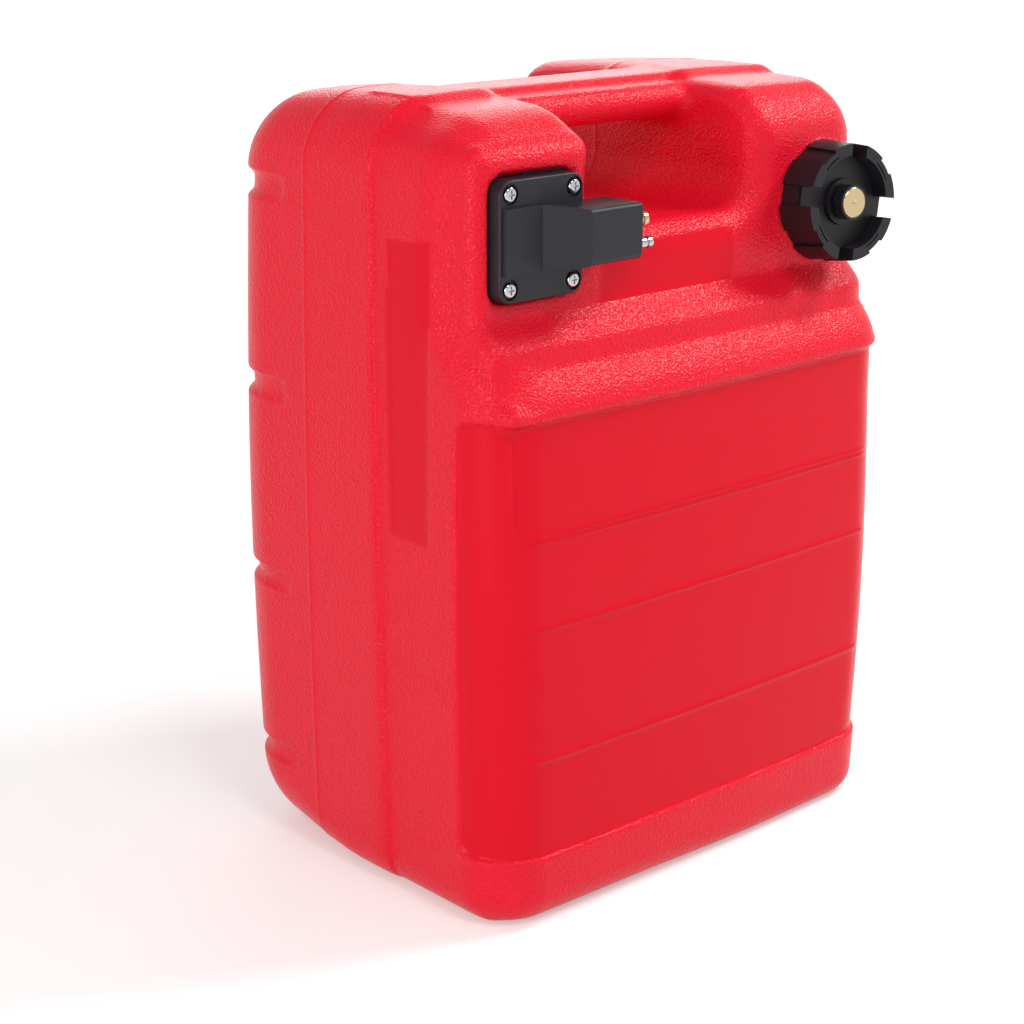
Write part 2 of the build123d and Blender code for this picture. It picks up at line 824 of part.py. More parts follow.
poppet_stem_length = poppet_seat + nipple_hex_length + nipple_length - poppet_recess
with BuildPart() as check_poppet:
    with BuildSketch(nipple_plane.offset(-poppet_seat)):
        Circle(poppet_stem_radius)
    extrude(amount=poppet_stem_length)
    with BuildSketch(nipple_plane.offset(-poppet_seat)):
        Circle(poppet_head_radius)
    extrude(amount=-poppet_head_length)
    with BuildSketch(nipple_plane.offset(-poppet_seat - poppet_head_length)):
        Circle(poppet_tail_radius)
    extrude(amount=-poppet_tail_length)
save(check_poppet, "check_poppet")

spring_seat = poppet_seat + poppet_head_length + spring_wire
spring_length = chamber_length - spring_seat - spring_wire
spring_foot = (prong_root - chamber_length + spring_wire, prong_y, nipple_z)
with BuildPart() as check_spring:
    with BuildLine():
        coil = Helix(
            spring_length / spring_turns, spring_length, spring_radius, spring_foot, (1, 0, 0)
        )
    with BuildSketch(Plane(origin=coil @ 0, z_dir=coil % 0)):
        Circle(spring_wire)
    sweep(path=coil, is_frenet=True)
save(check_spring, "check_spring")


# ---------------------------------------------------------------- screw cap
def lobed(plane, radius):
    """The cap's outline on a plane: lobes with a shallow recess at each slot and midway."""
    pitch = 180 / cap_slot_count
    half = cap_recess_arc / 2
    low = radius - cap_step
    with BuildSketch(plane) as outline:
        with BuildLine():
            for index in range(2 * cap_slot_count):
                angle = cap_slot_angle + pitch * index
                end = angle + pitch - half
                ThreePointArc(polar(low, angle - half), polar(low, angle), polar(low, angle + half))
                Line(polar(low, angle + half), polar(radius, angle + half))
                ThreePointArc(
                    polar(radius, angle + half), polar(radius, angle + pitch / 2), polar(radius, end)
                )
                Line(polar(radius, end), polar(low, end))
        make_face()
    return outline.sketch


with BuildPart() as cap_shell:
    add(lobed(cap_level(0), cap_radius))
    add(lobed(cap_level(cap_length), cap_radius - cap_length * tan(radians(cap_taper))))
    loft(ruled=True)
    with BuildSketch(cap_level(0)):
        Circle(cap_thread_radius)
    extrude(amount=cap_hollow, mode=Mode.SUBTRACT)
    with BuildSketch(cap_level(cap_seat)):
        Circle(cap_recess)
        with PolarLocations(cap_radius, cap_slot_count, cap_slot_angle):
            Rectangle(2 * cap_radius, cap_slot_width)
    extrude(amount=cap_length, mode=Mode.SUBTRACT)
    with BuildSketch(cap_level(cap_length - cap_kerf_depth)):
        for index in range(cap_slot_count):
            middle = cap_slot_angle + (index + 0.5) * 360 / cap_slot_count
            with BuildLine():
                kerf = CenterArc(
                    (0, 0), cap_radius - cap_kerf_setback, middle - cap_kerf_arc / 2, cap_kerf_arc
                )
            trace(kerf, cap_kerf_width)
    extrude(amount=cap_kerf_depth, mode=Mode.SUBTRACT)
    with BuildSketch(cap_level(0)):
        Circle(vent_stem_radius + hub_spigot_wall + fit_gap)
    extrude(amount=cap_length, mode=Mode.SUBTRACT)
save(cap_shell, "cap_shell")

with BuildPart() as cap_disc:
    with BuildSketch(cap_level(cap_seat)):
        Circle(cap_recess - clear_gap)
        with PolarLocations(0, cap_slot_count, cap_slot_angle):
            with Locations(((cap_radius - disc_lug_setback) / 2, 0)):
                Rectangle(cap_radius - disc_lug_setback, cap_slot_width - 2 * clear_gap)
        Circle(hub_radius + clear_gap, mode=Mode.SUBTRACT)
    extrude(amount=disc_thickness)
save(cap_disc, "cap_disc")

with BuildPart() as vent_hub:
    with BuildSketch(cap_level(cap_hollow)):
        Circle(vent_stem_radius + hub_spigot_wall)
    extrude(amount=cap_web)
    with BuildSketch(cap_level(cap_seat)):
        Circle(hub_radius)
    extrude(amount=hub_height)
    with BuildSketch(cap_level(cap_hollow)):
        Circle(vent_stem_radius + running_gap)
    extrude(amount=cap_web + hub_height, mode=Mode.SUBTRACT)
save(vent_hub, "vent_hub")

with BuildPart() as splash_guard:
    with BuildSketch(cap_level(guard_foot)):
        Circle(guard_radius)
    extrude(amount=cap_hollow - guard_foot)
    with BuildSketch(cap_level(guard_foot + guard_wall)):
        Circle(guard_radius - guard_wall)
    extrude(amount=cap_hollow, mode=Mode.SUBTRACT)
    with BuildSketch(cap_level(guard_foot)):
        with PolarLocations(guard_hole_circle, guard_holes):
            Circle(guard_hole)
    extrude(amount=guard_wall, mode=Mode.SUBTRACT)
save(splash_guard, "splash_guard")

with BuildPart() as cap_gasket:
    with BuildSketch(cap_level(neck_end + clear_gap)):
        Circle(neck_radius + gasket_overhang)
        Circle(neck_bore + gasket_overhang, mode=Mode.SUBTRACT)
    extrude(amount=gasket_thickness)
save(cap_gasket, "cap_gasket")

# ---------------------------------------------------------------- vent screw
with BuildPart() as vent_seal:
    with BuildSketch(cap_level(vent_seal_back)):
        Circle(vent_seal_radius)
        Circle(vent_stem_radius + clear_gap, mode=Mode.SUBTRACT)
    extrude(amount=vent_seal_thickness)
save(vent_seal, "vent_seal")

with BuildPart() as vent_screw:
    with BuildSketch(cap_level(vent_stem_foot)):
        Circle(vent_stem_radius)
    extrude(amount=vent_head_back - vent_stem_foot)
    with BuildSketch(cap_level(vent_head_back)):
        Circle(vent_head_radius)
    extrude(amount=vent_face - vent_head_back)
    chamfer(vent_screw.edges().group_by(Axis.Y)[0], vent_edge)
    with Locations(cap_level(vent_face - vent_dimple_depth / 2)):
        Cone(vent_dimple_tip, vent_dimple_radius, vent_dimple_depth, mode=Mode.SUBTRACT)
    with BuildSketch(cap_level(clip_foot)):
        Circle(vent_stem_radius)
        Circle(vent_stem_radius - clip_groove_depth, mode=Mode.SUBTRACT)
    extrude(amount=clip_thickness, mode=Mode.SUBTRACT)
save(vent_screw, "vent_screw")

with BuildPart() as vent_knob:
    with BuildSketch(cap_level(vent_head_back)):
        Circle(vent_head_radius + knob_wall)
        Circle(vent_head_radius + running_gap, mode=Mode.SUBTRACT)
    extrude(amount=vent_face - knob_setback - vent_head_back)
save(vent_knob, "vent_knob")

clip_bore = vent_stem_radius - clip_groove_depth + running_gap
with BuildPart() as vent_clip:
    with BuildSketch(cap_level(clip_foot + running_gap)):
        Circle(vent_stem_radius + clip_width)
        Circle(clip_bore, mode=Mode.SUBTRACT)
        with Locations((0, -clip_bore - clip_width)):
            Rectangle(clip_opening, 2 * (clip_bore + clip_width), mode=Mode.SUBTRACT)
    extrude(amount=clip_thickness - 2 * running_gap)
save(vent_clip, "vent_clip")
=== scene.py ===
"""Looks of a portable outboard fuel tank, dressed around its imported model.

Shapes are worked out in millimetres and put into the meshes in metres. +Z is up, +X is the
tank's right side and its front face looks along -Y.
"""

import json
from math import cos, pi, radians, sin

import bpy
import numpy as np
from mathutils import Matrix, Vector


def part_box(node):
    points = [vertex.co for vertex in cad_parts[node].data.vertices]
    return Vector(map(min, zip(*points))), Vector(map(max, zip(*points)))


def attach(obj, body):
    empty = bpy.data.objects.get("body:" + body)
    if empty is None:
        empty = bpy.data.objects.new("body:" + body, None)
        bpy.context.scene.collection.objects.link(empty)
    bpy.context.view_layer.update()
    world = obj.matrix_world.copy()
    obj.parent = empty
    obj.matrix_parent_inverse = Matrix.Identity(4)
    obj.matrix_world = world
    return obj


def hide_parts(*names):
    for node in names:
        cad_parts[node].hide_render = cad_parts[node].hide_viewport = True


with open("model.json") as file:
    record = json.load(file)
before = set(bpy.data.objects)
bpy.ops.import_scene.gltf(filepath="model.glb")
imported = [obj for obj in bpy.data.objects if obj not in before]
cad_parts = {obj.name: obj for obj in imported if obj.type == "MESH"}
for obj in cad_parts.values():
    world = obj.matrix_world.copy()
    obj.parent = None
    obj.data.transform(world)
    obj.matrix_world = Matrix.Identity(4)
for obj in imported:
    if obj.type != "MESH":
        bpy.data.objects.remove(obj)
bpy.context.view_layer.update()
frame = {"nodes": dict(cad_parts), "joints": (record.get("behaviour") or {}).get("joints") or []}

MM = 0.001
nodes = frame["nodes"]
joints = {joint["name"]: joint for joint in frame["joints"]}


def node_box(name):
    """A node's lowest and highest corners, in millimetres."""
    low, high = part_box(name)
    return np.array(low) / MM, np.array(high) / MM


# ---------------------------------------------------------------- the body's sizes
_, shell_high = node_box("tank_shell")
plate_low, plate_high = node_box("flange_gasket")
height = shell_high[2]
half_width = shell_high[0]
back_y = shell_high[1]
skin_gap = 0.6
blocks_overlap = 60.0
sides_from, sides_to = -60.0, 60.0

base_round = 19.0
right_base_round = 14.5
rear_base_round = 46.0
foot_round_from, foot_round_to = 5.0, 115.0
back_corner = 46.0
left_top_round = 40.0
right_top_round = 18.0
side_swell = 2.6
swell_foot = 15.0
swell_reach = 390.0
back_swell = 4.2
panel_swell = 3.0
panel_swell_reach = 250.0
crown_drop = 15.5
crown_lean = 4.5
crown_lean_reach = 100.0
crown_reach = 160.0
side_fall = 3.0
side_fall_start = 70.0

# the front block stands in from the rear block along a slanting riser
step_in = 2.5
top_step = 4.2
riser_top_y = -16.0
riser_slant = 9.0
riser_slope_top = 350.0
riser_round = 1.6

# the front block's corner column, and the raised face with its two ridges
lower_front = -120.0
front_bow = 3.5
bow_loss = 0.7
lower_corner = 34.5
column_front = -86.0
column_corner = 36.0
right_column_corner = 32.0
column_foot = 298.0
column_head = 352.0
front_top_round = 32.0
front_round_from, front_round_to = -45.0, -75.0
top_step_low, top_step_high = -28.0, -15.0
lip_foot = 294.0
lip_head = 299.0
hidden_reach = 14.0
lip_rise = 0.2
lip_step = 0.7
lip_front = lower_front - lip_step
face_depth = 16.0
ridge_front = -107.0
ridge_lean = 0.8
ridge_1_low, ridge_1_high = 299.0, 315.0
upper_front = -92.0
ridge_2_low, ridge_2_high = 330.0, 350.0
face_left = -158.0
face_edge_round = 10.0
face_left_top = 440.0
face_top_round = 12.0
face_blend_from, face_blend_to = -70.0, 60.0
face_fillet = 9.0
least_fillet = 0.4
fillet_from, fillet_to = -142.0, -115.0
fillet_foot, fillet_head = 300.0, 322.0
brow_foot, brow_head = 424.0, 436.0
brow_from, brow_to = -90.0, -40.0

# smooth panel, and the thin raised lines on it
panel_low, panel_high = 43.0, 296.0
panel_edge_y = -85.5
panel_depth = 2.5
panel_corner = 8.0
panel_edge = 2.0
line_height = 0.9
line_width = 0.8
line_end = 1.5
lines_front_y, lines_back_y = -110.0, -100.0
line_left, line_right = -138.0, 141.0
line_levels = (102.0, 179.5, 228.6, 232.0)
frame_line_x = -149.5
frame_line_round = 9.0
frame_line_share = 0.8
frame_line_head = 288.0

# parting line and moulding lines
seam_y = 42.0
seam_height = 0.45
second_seam_y = 15.0
second_seam_share = 0.7
second_seam_foot, second_seam_full = 372.0, 400.0

# grooves round the back
groove_levels = ((46.0, 60.0), (160.0, 174.0), (276.5, 292.5), (393.5, 411.0))
groove_end_y = 60.0
groove_end_round = 6.5
groove_shallow, groove_deep = 1.9, 3.8
groove_deep_y = 105.0
groove_soft = 4.5
groove_lip = 0.3

# grip well and carrying bar
well_left, well_right = -69.0, 62.0
well_floor = 386.0
well_round = 22.0
well_edge_round = 18.0
lip_round_foot, lip_round_head = 415.0, 440.0
lip_round_front_y, lip_round_back_y = -40.0, 28.0
left_lip_round = 34.0
right_lip_round = 26.0
front_lip_round = 13.0
bar_front, bar_back = -35.0, 28.0
bar_low, bar_high = 434.0, 458.5
bar_round = 10.0
bar_step_y = -16.0
bar_step_reach = 5.0
bar_fillet = 8.0
least_bar_fillet = 1.0
bar_fillet_foot, bar_fillet_head = 442.0, 454.0

# smooth sunk fields
side_field = (-62.0, -28.5, 221.0, 387.0)
front_field = (-67.0, 41.5, 347.0, 377.0)
field_depth = 0.7
field_edge = 0.8
field_corner = 1.0
field_reach_x = 20.0
front_field_y = -75.0
field_line_y = -58.5
field_line_share = 0.6
field_line_foot, field_line_head = 238.0, 376.0
field_line_end = 2.0

# pocket for the outlet plate, neck and bore
pocket_floor = plate_high[1]
pocket_margin = 1.6
pocket_corner = 11.0
pocket_edge = 1.0
plate_foot, plate_head = 357.5, 422.9
pocket_low_z, pocket_high_z = plate_foot - pocket_margin, plate_head + pocket_margin
neck_axis = np.array(joints["cap_turn"]["axis"])
neck_base = np.array(joints["cap_turn"]["pos_m"]) / MM
neck_root_radius = 34.0
neck_root_face = -1.0
neck_root_round = 3.0
neck_root_fillet = 5.0
neck_radius = 29.0
neck_end = 7.4
neck_bore = 23.5
bore_depth = 34.0
neck_length = 40.0
neck_edge = 0.8

# the mesh over all this
grid_step = 3.9
grid_step_up = 4.0
grid_half = (176.0, 136.0)
grid_foot, grid_head = -5.0, 468.0
riser_reach = 55.0
least_plane_gap = 0.4
surface_steps = 4
crossing_reach = 1.2
slope_reach = 0.02
least_slope = 0.05
no_zero = 1e-30
grain_start, grain_full = -0.8, 0.4


# ---------------------------------------------------------------- distance rules
def ramp(low, high, value):
    """Smooth rise from 0 at low to 1 at high: 3t^2 - 2t^3."""
    t = np.clip((value - low) / (high - low), 0, 1)
    return t * t * (3 - 2 * t)


def crossed(a, b, radius):
    """What two solids share: max(a, b), with a quarter circle round the edge between them."""
    inner = np.minimum(np.maximum(a, b), -radius)
    return inner + np.hypot(np.maximum(a + radius, 0), np.maximum(b + radius, 0))


def joined(a, b, radius):
    """Two solids together: min(a, b), with a quarter-circle fillet in the corner between them."""
    outer = np.maximum(np.minimum(a, b), radius)
    return outer - np.hypot(np.maximum(radius - a, 0), np.maximum(radius - b, 0))


def cut(a, b, radius):
    """A solid less another, with the rim of the cut rounded."""
    return crossed(a, -b, radius)


def rectangle(u, v, low_u, high_u, low_v, high_v, radius):
    """Distance from a rectangle with round corners.

    Outside the corners' centres it is hypot(out_u, out_v) less the radius, and between them it is
    the larger of the two. The radius may be an array.
    """
    out_u = np.abs(u - (low_u + high_u) / 2) - (high_u - low_u) / 2 + radius
    out_v = np.abs(v - (low_v + high_v) / 2) - (high_v - low_v) / 2 + radius
    inside = np.minimum(np.maximum(out_u, out_v), 0)
    return np.hypot(np.maximum(out_u, 0), np.maximum(out_v, 0)) + inside - radius


def ridge(distance, tall, wide):
    """A thin raised line on a surface: tall * exp(-(distance / wide)^2)."""
    return tall * np.exp(-((distance / wide) ** 2))


# ---------------------------------------------------------------- the body as a distance field
def swell(z, reach):
    """How far a wall bulges, from 0 to 1: sin(pi * share of the reach above the foot)."""
    return np.sin(pi * np.clip((z - swell_foot) / reach, 0, 1))


def crown(x, y, drop):
    """Height of the arched top: a parabola in y, less a square law beyond a distance in x."""
    arch = crown_drop - crown_lean * np.clip(x / crown_lean_reach, -1, 1)
    share = np.maximum(np.abs(x) - side_fall_start, 0) / (half_width - side_fall_start)
    fall = side_fall * share**2
    return height - drop - arch * (y / crown_reach) ** 2 - fall


def sided(left, right, x):
    """A size that goes along a ramp in x from its left value to its right one."""
    return left + (right - left) * ramp(sides_from, sides_to, x)


def riser_y(z):
    """Where the step between the blocks runs: a straight slant forward towards the base."""
    return riser_top_y - riser_slant * (1 - np.clip(z / riser_slope_top, 0, 1))


def rear_block(x, y, z):
    """The rear half: a bulging plan crossed with the arched top, the ground and the riser."""
    bulge = swell(z, swell_reach)
    half = half_width + skin_gap + side_swell * bulge
    back = back_y + back_swell * bulge
    plan = rectangle(x, y, -half, half, -blocks_overlap, back, back_corner)
    block = crossed(plan, z - crown(x, y, 0.0), sided(left_top_round, right_top_round, x))
    foot = sided(base_round, right_base_round, x)
    foot = foot + (rear_base_round - base_round) * ramp(foot_round_from, foot_round_to, y)
    block = crossed(block, -z, foot)
    return crossed(block, riser_y(z) - y, riser_round)


def column_face(z):
    """Front of the corner column: one ramp back between the base and the towers."""
    return lower_front + (column_front - lower_front) * ramp(column_foot, column_head, z)


def ridged_face(z):
    """Front of the raised face: it comes out of the column, then a ramp back over each roll."""
    hidden = face_depth * (1 - ramp(lip_foot - hidden_reach, lip_head, z))
    first = (ridge_front - lip_front) * ramp(ridge_1_low, ridge_1_high, z)
    lean = ridge_lean * np.clip((z - ridge_1_high) / (ridge_2_low - ridge_1_high), 0, 1)
    second = (upper_front - ridge_front - ridge_lean) * ramp(ridge_2_low, ridge_2_high, z)
    return lip_front + hidden + first + lean + second


def front_block(x, y, z):
    """The front half: the corner column joined to the raised face with its lip.

    Both are rounded rectangles in x and a y that is bowed by a parabola in x and by the panel's
    swell, and both are crossed with their tops and the ground.
    """
    half = half_width - step_in + skin_gap + side_swell * swell(z, swell_reach)
    shift = ramp(column_foot, column_head, z)
    bowed = y + front_bow * (1 - (x / half) ** 2) * (1 - bow_loss * shift)
    bowed = bowed + panel_swell * swell(z, panel_swell_reach)
    corner = lower_corner + (sided(column_corner, right_column_corner, x) - lower_corner) * shift
    rounding = sided(left_top_round, right_top_round, x)
    forward = ramp(-front_round_from, -front_round_to, -y)
    rounding = rounding + (front_top_round - rounding) * forward
    top = crown(x, y, top_step * (1 - ramp(top_step_low, top_step_high, y)))
    column = rectangle(x, bowed, -half, half, column_face(z), blocks_overlap, corner)
    column = crossed(column, z - top, rounding)
    lip = lip_rise * ramp(lip_foot, lip_head, z) * (1 - ramp(ridge_1_low, ridge_1_high, z))
    round_edge = np.where(x < 0, face_edge_round, corner)
    face = rectangle(x, bowed, face_left, half + lip, ridged_face(z), blocks_overlap, round_edge)
    blend = ramp(face_blend_from, face_blend_to, x)
    face_top = face_left_top + (top - face_left_top) * blend
    rim = face_top_round + (rounding - face_top_round) * blend
    face = crossed(face, z - face_top, rim)
    # the fillet follows the face's left edge and its top, and fades where the two run together
    edge = (1 - ramp(fillet_from, fillet_to, x)) * ramp(fillet_foot, fillet_head, z)
    brow = ramp(brow_foot, brow_head, z) * (1 - ramp(brow_from, brow_to, x))
    block = joined(column, face, least_fillet + face_fillet * np.maximum(edge, brow))
    return crossed(block, -z, sided(base_round, right_base_round, x))


def grip_well(x, z):
    """Channel from front to back across the top: a rounded rectangle in x and z."""
    return rectangle(x, z, well_left, well_right, well_floor, 3 * height, well_round)


def grip_bar(x, y, z):
    """The carrying bar: a rounded rectangle in y and z, with a ramp down to its front part."""
    lower = top_step * (1 - ramp(bar_step_y - bar_step_reach, bar_step_y + bar_step_reach, y))
    section = rectangle(y, z, bar_front, bar_back, bar_low, bar_high - lower, bar_round)
    middle, span = (well_left + well_right) / 2, well_right - well_left
    return np.maximum(section, np.abs(x - middle) - span)


def neck_coordinates(x, y, z):
    """Distance along the neck's axis (a dot product) and out from it (by Pythagoras)."""
    along = (x - neck_base[0]) * neck_axis[0] + (y - neck_base[1]) * neck_axis[1]
    along = along + (z - neck_base[2]) * neck_axis[2]
    square = (x - neck_base[0]) ** 2 + (y - neck_base[1]) ** 2 + (z - neck_base[2]) ** 2
    return along, np.sqrt(np.maximum(square - along**2, 0))


def panel_mask(y, z):
    """Distance from the smooth panel's outline, a rounded rectangle in y and z round the front."""
    return rectangle(y, z, -2 * height, panel_edge_y, panel_low, panel_high, panel_corner)


def field_masks(x, y, z):
    """Distances from the outlines of the two sunk fields, each on its own side of the body."""
    side = rectangle(y, z, *side_field, field_corner)
    side = np.maximum(side, x + half_width - field_reach_x)
    front = rectangle(x, z, *front_field, field_corner)
    return side, np.maximum(front, y - front_field_y)


def raised_lines(x, y, z):
    """Height of the thin mould lines: a ridge at a distance from each line, faded by ramps.

    They lie on the panel, on the side field and round the body.
    """
    front = 1 - ramp(lines_front_y, lines_back_y, y)
    span = ramp(line_left - line_end, line_left, x)
    span = span * (1 - ramp(line_right, line_right + line_end, x))
    tall = np.zeros_like(x)
    for level in line_levels:
        tall = np.maximum(tall, ridge(z - level, line_height, line_width) * span)
    far = 2 * height
    border = rectangle(x, z, frame_line_x, far, line_levels[-1], far, frame_line_round)
    border = ridge(border, frame_line_share * line_height, line_width)
    tall = np.maximum(tall, border * (x < line_left) * (z < frame_line_head))
    side = ridge(y - field_line_y, field_line_share * line_height, line_width) * (x < 0)
    side = side * ramp(field_line_foot, field_line_foot + field_line_end, z)
    side = side * (1 - ramp(field_line_head - field_line_end, field_line_head, z))
    seam = ridge(y - seam_y, seam_height, line_width)
    second = ridge(y - second_seam_y, second_seam_share * seam_height, line_width)
    second = second * ramp(second_seam_foot, second_seam_full, z)
    return tall * front + side + seam + second


def body_distance(x, y, z):
    """Signed distance from the tank's outer skin, in millimetres, negative inside.

    The smaller of the two blocks, less the grip well, plus the bar, less the grooves, the panel
    and the fields, plus the neck, less its bore and the outlet's pocket, and out by the lines.
    """
    body = np.minimum(rear_block(x, y, z), front_block(x, y, z))
    back_lip = sided(left_lip_round, right_lip_round, x)
    backward = ramp(lip_round_front_y, lip_round_back_y, y)
    lip = front_lip_round + (back_lip - front_lip_round) * backward
    upward = ramp(lip_round_foot, lip_round_head, z)
    body = cut(body, grip_well(x, z), well_edge_round + (lip - well_edge_round) * upward)
    below = 1 - ramp(bar_fillet_foot, bar_fillet_head, z)
    fillet = least_bar_fillet + (bar_fillet - least_bar_fillet) * below
    body = joined(body, grip_bar(x, y, z), fillet)
    # grooves: soft dishes in the skin, deeper towards the back
    deeper = ramp(groove_end_y, groove_deep_y, y)
    depth = groove_shallow + (groove_deep - groove_shallow) * deeper
    for low, high in groove_levels:
        groove = rectangle(y, z, groove_end_y, 2 * height, low, high, groove_end_round)
        body = body + depth * (1 - ramp(-groove_soft, groove_lip, groove))
    panel = np.maximum(panel_mask(y, z), -(body + panel_depth))
    body = cut(body, panel, panel_edge)
    for field in field_masks(x, y, z):
        body = cut(body, np.maximum(field, -(body + field_depth)), field_edge)
    along, out = neck_coordinates(x, y, z)
    root = crossed(out - neck_root_radius, along - neck_root_face, neck_root_round)
    body = joined(body, np.maximum(root, -along - neck_length), neck_root_fillet)
    neck = crossed(out - neck_radius, along - neck_end, neck_edge)
    body = np.minimum(body, np.maximum(neck, -along - neck_length))
    body = cut(body, np.maximum(out - neck_bore, -along - bore_depth), neck_edge)
    left, right = plate_low[0] - pocket_margin, plate_high[0] + pocket_margin
    pocket = rectangle(x, z, left, right, pocket_low_z, pocket_high_z, pocket_corner)
    body = cut(body, np.maximum(pocket, y - pocket_floor), pocket_edge)
    return body - raised_lines(x, y, z)


# ---------------------------------------------------------------- from a field to a mesh
def planes(low, high, step, fine):
    """Grid planes at even steps, with closer ones round each place: (place, reach, step)."""
    count = int(round((high - low) / step))
    found = np.linspace(low, high, count + 1)
    for place, reach, close in fine:
        found = found[np.abs(found - place) > reach + least_plane_gap * step]
        found = np.concatenate([found, np.arange(place - reach, place + reach + close / 2, close)])
        found = np.sort(found)
    return found


def net_of(field, places):
    """Points and faces of a field's zero surface on a grid of places with three coordinates each.

    Each cell that the surface crosses gets one point, the mean of the crossings on its edges,
    and each grid edge that it crosses gets one face, through the four cells round that edge.
    """
    value = field(*places)
    inside = value < 0
    shape = np.array(value.shape) - 1
    counts = np.zeros(shape, int)
    corners = [(i, j, k) for i in (0, 1) for j in (0, 1) for k in (0, 1)]
    for i, j, k in corners:
        counts += inside[i : shape[0] + i, j : shape[1] + j, k : shape[2] + k]
    cells = np.argwhere((counts > 0) & (counts < 8))
    number = -np.ones(shape, int)
    number[tuple(cells.T)] = np.arange(len(cells))
    total = np.zeros((len(cells), 3))
    hits = np.zeros(len(cells))
    for axis in range(3):
        for corner in corners:
            if corner[axis]:
                continue
            start = tuple((cells + corner).T)
            step = np.eye(3, dtype=int)[axis]
            end = tuple((cells + corner + step).T)
            crossing = inside[start] != inside[end]
            share = np.where(crossing, value[start] / (value[start] - value[end] + no_zero), 0)
            for part in range(3):
                place = places[part][start] + share * (places[part][end] - places[part][start])
                total[:, part] += np.where(crossing, place, 0)
            hits += crossing
    points = total / hits[:, None]
    faces = []
    for axis in range(3):
        u, v = [part for part in range(3) if part != axis]
        low = [slice(1, -1)] * 3
        low[axis] = slice(0, -1)
        high = list(low)
        high[axis] = slice(1, None)
        changed = np.argwhere(inside[tuple(low)] != inside[tuple(high)])
        offset = np.ones(3, int)
        offset[axis] = 0
        edges = changed + offset
        ring = []
        for back_u, back_v in ((1, 1), (0, 1), (0, 0), (1, 0)):
            cell = edges.copy()
            cell[:, u] -= back_u
            cell[:, v] -= back_v
            ring.append(number[tuple(cell.T)])
        quads = np.stack(ring, 1)
        outward = inside[tuple(edges.T)] ^ (axis == 1)
        quads[~outward] = quads[~outward][:, ::-1]
        faces.append(quads)
    return points, np.concatenate(faces)


def slope_of(field, points):
    """A field's slope at each point: central differences over a short reach."""
    slope = np.empty_like(points)
    for part in range(3):
        shift = np.zeros(3)
        shift[part] = slope_reach
        rise = field(*(points + shift).T) - field(*(points - shift).T)
        slope[:, part] = rise / (2 * slope_reach)
    return slope


def settled(field, points):
    """Points moved onto the zero surface: a few short steps of value * slope / slope squared."""
    for _ in range(surface_steps):
        value = field(*points.T)
        slope = slope_of(field, points)
        length = np.maximum((slope**2).sum(1), least_slope)
        move = slope * np.clip(value / length, -crossing_reach, crossing_reach)[:, None]
        points = points - move
    return points


def mesh_object(name, points, faces):
    """A smooth-shaded object in metres from points in millimetres."""
    mesh = bpy.data.meshes.new(name)
    mesh.vertices.add(len(points))
    mesh.vertices.foreach_set("co", (np.asarray(points) * MM).astype(np.float32).ravel())
    size = faces.shape[1]
    mesh.loops.add(faces.size)
    mesh.loops.foreach_set("vertex_index", faces.ravel().astype(np.int32))
    mesh.polygons.add(len(faces))
    mesh.polygons.foreach_set("loop_start", np.arange(0, faces.size, size, dtype=np.int32))
    mesh.update(calc_edges=True)
    mesh.polygons.foreach_set("use_smooth", np.ones(len(faces), bool))
    obj = bpy.data.objects.new(name, mesh)
    bpy.context.scene.collection.objects.link(obj)
    return obj


def body_grid():
    """Places of the grid's corners: close where the body has edges, and sheared along the riser.

    Each entry that asks for closer planes is (place, reach to each side, step).
    """
    wide, long = grid_half
    across = planes(-wide, wide, grid_step, [(-146.0, 15.0, 2.0), (frame_line_x, 1.2, 0.6)])
    deep_places = [
        (riser_top_y, 2.4, 1.2),
        (seam_y, 1.2, 0.6),
        (-92.0, 18.0, 2.0),
        (panel_edge_y, 1.5, 0.75),
        (groove_end_y, 2.0, 1.0),
    ]
    deep = planes(-long, long, grid_step, deep_places)
    up_places = [
        (panel_low, 2.0, 0.8),
        (324.0, 25.0, 2.5),
        (panel_high, 2.4, 0.8),
        ((line_levels[2] + line_levels[3]) / 2, 3.6, 0.6),
        *[(level, 1.2, 0.6) for level in line_levels[:2]],
        *[(level, 1.5, 0.75) for pair in groove_levels for level in pair],
    ]
    up = planes(grid_foot, grid_head, grid_step_up, up_places)
    x, y, z = np.meshgrid(across, deep, up, indexing="ij")
    near = np.clip(1 - np.abs(y - riser_top_y) / riser_reach, 0, 1)
    return x, y + (riser_y(z) - riser_top_y) * near, z


def make_body():
    """The blow-moulded body, with a value at each point that says how pebbled its skin is."""
    points, faces = net_of(body_distance, body_grid())
    points = settled(body_distance, points)
    obj = mesh_object("tank_body", points, faces)
    x, y, z = points.T
    side, front = field_masks(x, y, z)
    smooth = np.minimum(np.minimum(side, front), panel_mask(y, z))
    grain = ramp(grain_start, grain_full, smooth)
    layer = obj.data.attributes.new("grain", "FLOAT", "POINT")
    layer.data.foreach_set("value", grain.astype(np.float32))
    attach(obj, "tank")
    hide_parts("tank_shell")
    print("tank_body triangles", 2 * len(faces))
    return obj


# ---------------------------------------------------------------- materials
def new_material(name):
    """A material with its Principled shader."""
    material = bpy.data.materials.new(name)
    material.use_nodes = True
    return material, material.node_tree, material.node_tree.nodes["Principled BSDF"]


def add_node(tree, kind, **values):
    """A node of a kind, with its settings and its unlinked sockets set by name."""
    node = tree.nodes.new(kind)
    for key, value in values.items():
        if key in node.inputs:
            node.inputs[key].default_value = value
        else:
            setattr(node, key, value)
    return node


def set_surface(shader, **values):
    """Sets a shader's own sockets."""
    for key, value in values.items():
        shader.inputs[key.replace("_", " ")].default_value = value


